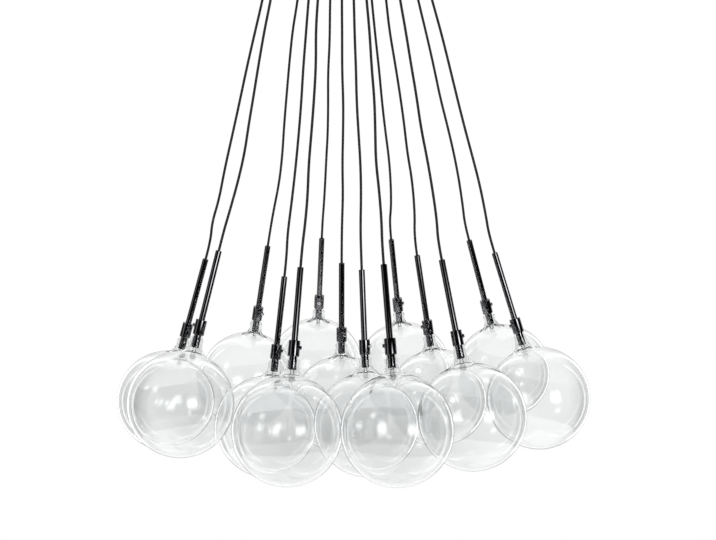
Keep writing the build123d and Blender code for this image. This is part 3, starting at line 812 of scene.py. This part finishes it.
@dataclass(frozen=True)
class StemFitting:
    """The stem, its bushes, the collar and their screws."""

    stem_r: float = 4.75
    stem_wall: float = 0.85
    stem_base: float = 122.0
    stem_top: float = 237.0
    bush_r: float = 3.85
    bush_bore_r: float = 1.6
    top_bush_length: float = 12.0
    top_bush_inset: float = 0.1
    clamp_bush_length: float = 10.0
    collar_r: float = 8.6
    collar_bore_r: float = 7.75
    collar_base: float = 107.0
    collar_top: float = 130.0
    web: float = 5.0
    thumb_level: float = 120.0
    thumb_r: float = 3.2
    thumb_shank_r: float = 1.5
    thumb_length: float = 2.6
    thumb_socket: float = 2.5
    thumb_socket_depth: float = 1.5
    grub_level: float = 155.0
    grub_r: float = 1.45
    grub_length: float = 2.5
    grub_socket: float = 1.3
    grub_socket_depth: float = 1.2
    slip: float = 0.05

    def patterns(self) -> dict[str, tuple[Piece, Finish]]:
        """Turn one of each piece on the bench, with its finish."""
        stem_bore_r = self.stem_r - self.stem_wall
        bush_top = self.stem_top - self.top_bush_inset
        bush_base, half = self.stem_top - self.top_bush_length, self.clamp_bush_length / 2
        stem = tube(stem_bore_r, self.stem_r, self.stem_base, self.stem_top)
        top_bush = tube(self.bush_bore_r, self.bush_r, bush_base, bush_top)
        clamp_bush = tube(self.bush_bore_r, self.bush_r, self.grub_level - half, self.grub_level + half)
        fit = self.stem_r + self.slip
        collar = rounded(
            [(fit, self.collar_top), (self.collar_r, self.collar_top), (self.collar_r, self.collar_base),
             (self.collar_bore_r, self.collar_base), (self.collar_bore_r, self.collar_top - self.web),
             (fit, self.collar_top - self.web)],
            {1: 0.7, 2: 0.7, 3: 0.2},
        )
        return {
            "stem": (Bench.turn("stem_pattern", rounded(stem, {2: 0.5, 3: 0.2}), 48), FINISH.black),
            "top_bush": (Bench.turn("top_bush_pattern", rounded(top_bush, {2: 0.4}), 32), FINISH.bush),
            "clamp_bush": (
                Bench.turn("clamp_bush_pattern", rounded(clamp_bush, {1: 0.4, 2: 0.4}), 32),
                FINISH.bright),
            "collar": (Bench.turn("collar_pattern", collar, 64), FINISH.black),
            "thumbscrew": (self._thumbscrew(), FINISH.bright),
            "grub_screw": (self._grub_screw(), FINISH.dark_screw),
        }

    def _thumbscrew(self) -> Piece:
        """Turn the thumbscrew along Z, its zero at the drop's axis, and sink its socket."""
        root, seat = self.collar_bore_r, self.collar_r + self.slip
        end = seat + self.thumb_length
        outline = [(0.0, root), (self.thumb_shank_r, root), (self.thumb_shank_r, seat),
                   (self.thumb_r, seat), (self.thumb_r, end), (self.thumb_socket / sqrt(3) * 1.2, end)]
        screw = Bench.turn("thumbscrew_pattern", rounded(outline, {3: 0.3, 4: 0.7}), 36, closed=False)
        Bench.sink_socket(screw, end, self.thumb_socket, self.thumb_socket_depth)
        return screw

    def _grub_screw(self) -> Piece:
        """Turn the grub screw along Z, its zero at the drop's axis, and sink its socket."""
        end = self.stem_r
        root = end - self.grub_length
        outline = [(0.0, root), (self.grub_r, root), (self.grub_r, end),
                   (self.grub_socket / sqrt(3) * 1.2, end)]
        screw = Bench.turn("grub_screw_pattern", rounded(outline, {1: 0.3, 2: 0.2}), 24, closed=False)
        Bench.sink_socket(screw, end, self.grub_socket, self.grub_socket_depth)
        return screw

    def where(self, part: str, drop: Drop) -> Matrix:
        """Return the place of one of the pieces on a drop."""
        if part == "thumbscrew":
            return drop.side(self.thumb_level, drop.thumb_heading)
        if part == "grub_screw":
            return drop.side(self.grub_level, drop.grub_heading)
        return drop.matrix()


@dataclass(frozen=True)
class Lampholder:
    """The sleeve below the collar, its black end ring and the ceramic insert."""

    sleeve_r: float = 5.8
    sleeve_wall: float = 0.7
    sleeve_base: float = 89.5
    sleeve_top: float = 125.0
    web_base: float = 122.0
    stem_fit_r: float = 4.8
    waist: float = 0.35
    waist_top: float = 106.0
    waist_base: float = 101.0
    ring_base: float = 87.0
    nose_r: float = 4.5
    insert_r: float = 5.05
    insert_top: float = 104.0
    slip: float = 0.05

    def patterns(self) -> dict[str, tuple[Piece, Finish]]:
        """Turn one of each piece on the bench, with its finish."""
        bore = self.sleeve_r - self.sleeve_wall
        slim = self.sleeve_r - self.waist
        sleeve = rounded(
            [(bore, self.sleeve_base), (self.sleeve_r, self.sleeve_base),
             (self.sleeve_r, self.waist_base), (slim, self.waist_top), (slim, self.sleeve_top),
             (self.stem_fit_r, self.sleeve_top), (self.stem_fit_r, self.web_base),
             (bore, self.web_base)],
            {1: 0.15, 2: 1.6, 3: 1.6, 4: 0.3},
        )
        ring = tube(self.nose_r + self.slip, self.sleeve_r, self.ring_base, self.sleeve_base)
        insert = rounded(
            [(0.0, self.ring_base), (self.nose_r, self.ring_base), (self.nose_r, self.sleeve_base),
             (self.insert_r, self.sleeve_base), (self.insert_r, self.insert_top),
             (0.0, self.insert_top)],
            {1: 0.3, 4: 0.4},
        )
        return {
            "holder_sleeve": (Bench.turn("sleeve_pattern", sleeve, 48), FINISH.black),
            "holder_ring": (Bench.turn("ring_pattern", rounded(ring, {0: 0.3, 1: 0.5}), 48), FINISH.ring),
            "holder_insert": (Bench.turn("insert_pattern", insert, 36, closed=False), FINISH.ceramic),
        }


@dataclass(frozen=True)
class CapsuleLamp:
    """The low-voltage capsule lamp: quartz body, pinch, pins, inner leads and coil."""

    radius: float = 4.3
    wall: float = 0.9
    base: float = 87.0
    length: float = 18.0
    pinch_length: float = 6.0
    pinch_inset: float = 0.5
    pin_spacing: float = 4.0
    pin_r: float = 0.4
    pin_top: float = 92.5
    lead_half: float = 1.9
    coil_r: float = 0.75
    coil_half: float = 1.5
    coil_drop: float = 3.2
    coil_wire_r: float = 0.11
    coil_turns: int = 9

    def patterns(self) -> dict[str, tuple[Piece, Finish]]:
        """Make one of each piece on the bench, with its finish."""
        return {
            "lamp_bulb": (self._bulb(), FINISH.bulb),
            "lamp_pins": (self._wires("pins", self._pin_routes(), self.pin_r), FINISH.lead),
            "lamp_coil": (self._wires("coil", self._coil_route(), self.coil_wire_r), FINISH.coil),
        }

    def _bulb(self) -> Piece:
        """Turn the hollow bulb and flatten its upper end into the pinch."""
        neck = self.base - self.pinch_length
        tip = self.base - self.length
        inner, side = self.radius - self.wall, self.radius - self.pinch_inset
        skin = arc((0.0, tip + self.radius), self.radius, -90.0, 0.0, 10)
        skin[0] = (0.0, tip)
        hollow = arc((0.0, tip + self.radius), inner, -90.0, 0.0, 8)
        hollow[0] = (0.0, tip + self.wall)
        # the outline's middle stretch closes the solid pinch over the hollow
        outline = skin + [
            (self.radius, neck - 1.5), (self.radius - 0.15, neck - 0.4), (self.radius - 0.4, neck + 0.4),
            (side, neck + 1.5), (side, self.base - 0.5), (self.radius - 1.0, self.base),
            (0.0, self.base), (0.0, neck + 0.6), (inner - 0.9, neck), (inner, neck - 1.2),
        ] + hollow[::-1]
        bulb = Bench.turn("bulb_pattern", outline, 40, closed=False)
        Bench.pick(bulb)
        for level, share in ((-0.5, 0.72), (0.3, 0.75), (1.1, 0.78)):
            Bench.choose(bulb, lambda place: place.z / MM > neck + level)
            bpy.ops.transform.resize(value=(1.0, share, 1.0), center_override=(0.0, 0.0, neck * MM))
        bpy.ops.object.mode_set(mode="OBJECT")
        return bulb

    def _pin_routes(self) -> list[list[Vector]]:
        """Return the two pins' routes, from inside the insert down to the coil's ends."""
        half, lead = self.pin_spacing / 2, self.lead_half
        neck = self.base - self.pinch_length
        stops = ((half, self.pin_top), (half, self.base - 1.0), (half, neck + 0.5),
                 (lead, neck - 1.2), (lead, neck - self.coil_drop))
        return [[Vector((side * x, 0.0, z)) for x, z in stops] for side in (-1.0, 1.0)]

    def _coil_route(self) -> list[list[Vector]]:
        """Return the coil's route from one lead's end to the other."""
        level = self.base - self.pinch_length - self.coil_drop
        steps = self.coil_turns * 10
        route = [Vector((-self.lead_half, 0.0, level))]
        for step in range(steps + 1):
            turn = 2 * pi * self.coil_turns * step / steps
            along = self.coil_half * (2.0 * step / steps - 1.0)
            route.append(Vector((along, self.coil_r * sin(turn), level - self.coil_r * (1 - cos(turn)))))
        return [route + [Vector((self.lead_half, 0.0, level))]]

    @staticmethod
    def _wires(name: str, routes: list[list[Vector]], radius: float) -> Piece:
        """Draw wires along their routes and make them one mesh.

        Args:
            name: What the wires are.
            routes: Each wire's points in millimetres.
            radius: The wires' radius in millimetres.

        Returns:
            The wires as one piece.
        """
        Bench.pick(Bench.draw(f"{name}_pattern", routes, radius, smooth=False))
        bpy.ops.object.convert(target="MESH")
        return bpy.context.object


@dataclass(frozen=True)
class HangingCord:
    """One cord, from its grip in the canopy down to its stem."""

    diameter: float = 4.0
    lead: float = 30.0
    lengths: dict[int, float] = field(default_factory=lambda: {
        1: 0.460, 2: 0.436, 3: 0.446, 4: 0.474, 5: 0.451, 6: 0.444, 7: 0.460,
        8: 0.458, 9: 0.448, 10: 0.441, 11: 0.448, 12: 0.446, 13: 0.442, 14: 0.448})
    stem_top: float = 237.0

    def points(self, drop: Drop) -> list[Vector]:
        """Return the given route of a drop's cord in millimetres."""
        foot = drop.at(self.stem_top)
        line = foot - drop.mouth
        east, north, _ = drop.axes()
        way = [drop.mouth + line * share + east * aside + north * back
               for share, aside, back in drop.waves]
        return [drop.mouth, *way, drop.at(self.stem_top + self.lead), foot]

    def hang(self, drop: Drop) -> None:
        """Hang a drop's cord as one smooth line with a round jacket."""
        points = self.points(drop)
        piece = Bench.draw(f"hanging_cord_{drop.tag}", [points], self.diameter / 2, smooth=True)
        piece.data.materials.append(FINISH.cord.material())
        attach(piece, drop.body)
        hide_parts(f"cord_{drop.tag}")
        tuple(points[0] * MM)


@dataclass(frozen=True)
class Canopy:
    """The canopy's nodes, which keep their CAD shapes and get their finishes here."""

    finishes: dict[str, Finish] = field(default_factory=lambda: {
        "ceiling_plate": FINISH.plate, "canopy_cover": FINISH.black, "cover_screws": FINISH.bright,
        "cord_grips": FINISH.black, "grip_nuts": FINISH.bright, "transformer": FINISH.case,
        "terminal_block": FINISH.case})

    def dress(self) -> None:
        """Give every node of the canopy its finish."""
        for name, finish in self.finishes.items():
            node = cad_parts[name]
            node.data.materials.clear()
            node.data.materials.append(finish.material())
            log.info("%s dressed in %s", name, finish.name)


@dataclass(frozen=True)
class Cluster:
    """All fourteen drops."""

    globe: GlobeGlass = GlobeGlass()
    stem: StemFitting = StemFitting()
    holder: Lampholder = Lampholder()
    lamp: CapsuleLamp = CapsuleLamp()
    cord: HangingCord = HangingCord()

    def hang(self) -> None:
        """Model each kind of piece once and hang its copies on every drop."""
        globe = self.globe.pattern()
        fitting = {**self.stem.patterns(), **self.holder.patterns()}
        lamp = self.lamp.patterns()
        for pattern, finish in [*fitting.values(), *lamp.values()]:
            Bench.dress(pattern, finish)
        for drop in DROPS:
            self.cord.hang(drop)
            self.globe.hang(drop, globe)
            for part, (pattern, finish) in fitting.items():
                piece = self._copy(part, pattern, finish, drop, self.stem.where(part, drop))
                if part == "stem":
                    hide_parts(f"fitting_{drop.tag}")
            for part, (pattern, finish) in lamp.items():
                piece = self._copy(part, pattern, finish, drop, drop.matrix())
                if part == "lamp_bulb":
                    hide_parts("inner_lamps" if drop.inner else f"lamp_{drop.tag}")
            log.info("drop %s hung", drop.tag)
        Bench.scrap(globe, *[pattern for pattern, _ in [*fitting.values(), *lamp.values()]])

    @staticmethod
    def _copy(part: str, pattern: Piece, finish: Finish, drop: Drop, where: Matrix) -> Piece:
        """Copy one kind of piece to a drop and let it ride there.

        Args:
            part: The kind of piece.
            pattern: Its model on the bench.
            finish: Its finish; not used.
            drop: The drop it belongs to.
            where: Its place.

        Returns:
            The copy.
        """
        piece = Bench.copy(pattern, f"{part}_{drop.tag}", where)
        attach(piece, drop.body)
        return piece


# ---- the studio


@dataclass(frozen=True)
class Panel:
    """A soft light panel round the studio, as seen from the pendant.

    Azimuths turn clockwise, seen from above, from the pendant's back. Angles are in degrees; the
    fade of the upper and lower edge is in sines of the height.
    """

    azimuth: float
    half_width: float
    low: float
    high: float
    level: float
    edge: float = 2.0
    fade: float = 0.06


@dataclass(frozen=True)
class Studio:
    """Camera, floor and soft light."""

    lens: float = 75.57
    camera_place: tuple[float, float, float] = (0.024, -2.360, -0.293)
    camera_tilt: float = 84.44
    floor_level: float = -1.30
    floor_radius: float = 0.95
    dome: float = 1.0
    glass_gap: float = 0.76
    upper_gap: float = 0.88
    mirror_gap: float = 0.012
    backdrops: int = 8
    backdrop_half: float = 11.5
    seam_half: float = 3.0
    ledge: tuple[float, float, float, float] = (0.16, 0.26, 0.34, 0.42)
    dip: tuple[float, float, float, float] = (-0.5, -0.42, -0.42, -0.34)
    dusk: Panel = Panel(-1.0, 4.0, -30.0, -10.6, 0.17, 4.0)
    windows: tuple[Panel, ...] = (
        Panel(0.0, 52.0, -90.0, 90.0, 0.6, 8.0),
        Panel(0.0, 14.0, 3.0, 80.0, 0.3, 6.0),
        Panel(27.0, 9.0, -90.0, 90.0, 0.38, 4.0),
        Panel(333.0, 9.0, -90.0, 90.0, 0.38, 4.0),
        Panel(27.0, 2.0, -50.0, 60.0, 1.2, 1.5),
        Panel(333.0, 2.0, -50.0, 60.0, 1.2, 1.5),
        Panel(61.0, 3.5, -38.0, 45.0, 1.5, 2.0),
        Panel(299.0, 3.5, -38.0, 45.0, 1.5, 2.0),
        Panel(148.0, 3.0, 2.0, 19.0, 7.0, 12.0, 0.16),
        Panel(242.0, 1.0, 28.0, 37.0, 3.8, 9.0, 0.08),
        Panel(240.0, 9.0, -12.0, 24.0, 0.7, 6.0),
        Panel(245.0, 40.0, -75.0, -14.0, 0.42, 25.0),
    )

    def shoot(self) -> None:
        """Set up the camera, the floor, the world and the lamps."""
        self._camera()
        self._floor()
        self._world()
        self._lamp("key_softbox", (-1.5, -1.9, 0.9), 0.55, 11.0)
        self._lamp("fill_softbox", (1.9, -1.2, 0.5), 0.5, 6.0)
        log.info("studio ready")

    def _camera(self) -> None:
        """Stand the camera where the photograph was taken from."""
        lens = bpy.data.cameras.new("photo_camera")
        lens.sensor_width = 36.0
        lens.lens = self.lens
        lens.clip_end = 60.0
        camera = bpy.data.objects.new("photo_camera", lens)
        camera.location = self.camera_place
        camera.rotation_euler = (radians(self.camera_tilt), 0.0, 0.0)
        bpy.context.scene.collection.objects.link(camera)
        bpy.context.scene.camera = camera

    def _floor(self) -> None:
        """Lay the plain pale floor."""
        Bench.clear()
        bpy.ops.mesh.primitive_circle_add(
            vertices=96, radius=self.floor_radius, fill_type="NGON",
            location=(0.0, 0.0, self.floor_level),
        )
        floor = bpy.context.object
        floor.name = "studio_floor"
        paper = bpy.data.materials.new("floor_paper")
        sheet = NodeSheet(paper)
        white = {"Color": (1.0, 1.0, 1.0, 1.0), "Roughness": 0.0}
        sheet.close(sheet.node("ShaderNodeBsdfDiffuse", None, white))
        floor.data.materials.append(paper)

    def _world(self) -> None:
        """Paint the room: white to the camera, panels to glass and metal, even to all else."""
        world = bpy.data.worlds.new("studio_room")
        bpy.context.scene.world = world
        world.cycles.sampling_method = "NONE"
        sheet = NodeSheet(world)
        towards = sheet.node("ShaderNodeTexCoord").outputs["Generated"]
        split = sheet.node("ShaderNodeSeparateXYZ", None, {0: towards})
        height = Value(sheet, split.outputs["Z"])
        flat = sheet.node(
            "ShaderNodeVectorMath", {"operation": "MULTIPLY"}, {0: towards, 1: (1.0, 1.0, 0.0)})
        level = sheet.node("ShaderNodeVectorMath", {"operation": "NORMALIZE"}, {0: flat.outputs[0]})

        def light_of(panel: Panel) -> Value:
            """Return one panel's light."""
            return self._panel(sheet, level.outputs[0], height, panel)

        pitch = 360.0 / self.backdrops
        seen: Value | float = 0.0
        for number in range(self.backdrops):
            paper = Panel(number * pitch, self.backdrop_half, -90.0, 90.0, 1.0)
            seam = Panel((number + 0.5) * pitch, self.seam_half, -90.0, 90.0, 1.0, 1.0)
            seen = light_of(paper).either(light_of(seam)).either(seen)
        sides = seen * (1.0 - self.glass_gap) + self.glass_gap
        shelves = height.band(*self.ledge) + height.band(*self.dip)
        through = sides * (1.0 - shelves * (1.0 - self.upper_gap))
        through = through * (1.0 - light_of(self.dusk))
        mirrored = light_of(self.windows[0])
        for panel in self.windows[1:]:
            mirrored = mirrored + light_of(panel)
        mirrored = mirrored + self.mirror_gap
        path = sheet.node("ShaderNodeLightPath")
        is_camera = Value(sheet, path.outputs["Is Camera Ray"])
        is_through = Value(sheet, path.outputs["Is Transmission Ray"])
        is_mirrored = Value(sheet, path.outputs["Is Glossy Ray"])
        bounced = Value(sheet, path.outputs["Glossy Depth"]).above(0.5)
        deep = Value(sheet, path.outputs["Transmission Depth"]).above(1.5)
        by_mirror = (is_mirrored * (1.0 - is_through)).either(is_through * bounced * deep)
        by_glass = is_through * (1.0 - by_mirror)
        plain = 1.0 - is_camera.either(by_glass).either(by_mirror)
        light = is_camera + by_glass * through + by_mirror * mirrored + plain * self.dome
        sheet.close(sheet.node(
            "ShaderNodeBackground", None, {"Color": (1.0, 1.0, 1.0, 1.0), "Strength": light}))

    @staticmethod
    def _panel(sheet: NodeSheet, heading: Socket, height: Value, panel: Panel) -> Value:
        """Return how bright one panel is in a direction.

        Args:
            sheet: The world's node sheet.
            heading: The direction's heading, level and of length 1.
            height: The direction's height, from -1 to 1.
            panel: The panel.

        Returns:
            Its light, 0 outside it.
        """
        middle = (sin(radians(panel.azimuth)), cos(radians(panel.azimuth)), 0.0)
        facing = sheet.node("ShaderNodeVectorMath", {"operation": "DOT_PRODUCT"}, {0: heading, 1: middle})
        outer, inner = panel.half_width + panel.edge, max(panel.half_width - panel.edge, 0.0)
        across = Value(sheet, facing.outputs["Value"]).rise(cos(radians(outer)), cos(radians(inner)))
        if panel.high - panel.low >= 179.0:
            return across * panel.level
        low, high = sin(radians(panel.low)), sin(radians(panel.high))
        fade = panel.fade
        upright = height.band(low - fade, low + fade, high - fade, high + fade)
        return across * upright * panel.level

    @staticmethod
    def _lamp(name: str, place: tuple[float, float, float], size: float, energy: float) -> None:
        """Hang a soft lamp that looks at the middle of the cluster.

        Args:
            name: The lamp's name.
            place: Where it hangs, in metres.
            size: Its width in metres.
            energy: Its power in watts.
        """
        light = bpy.data.lights.new(name, "AREA")
        light.shape = "DISK"
        light.size = size
        light.energy = energy
        lamp = bpy.data.objects.new(name, light)
        lamp.location = place
        aim = Vector((0.0, 0.0, -0.6)) - Vector(place)
        lamp.rotation_euler = aim.to_track_quat("-Z", "Y").to_euler()
        lamp.visible_glossy = False
        lamp.visible_transmission = False
        bpy.context.scene.collection.objects.link(lamp)


def main() -> None:
    """Build the pendant and its studio."""
    bpy.context.scene.view_settings.view_transform = "Standard"
    Cluster().hang()
    Canopy().dress()
    Studio().shoot()


if __name__ == "__main__":
    main()
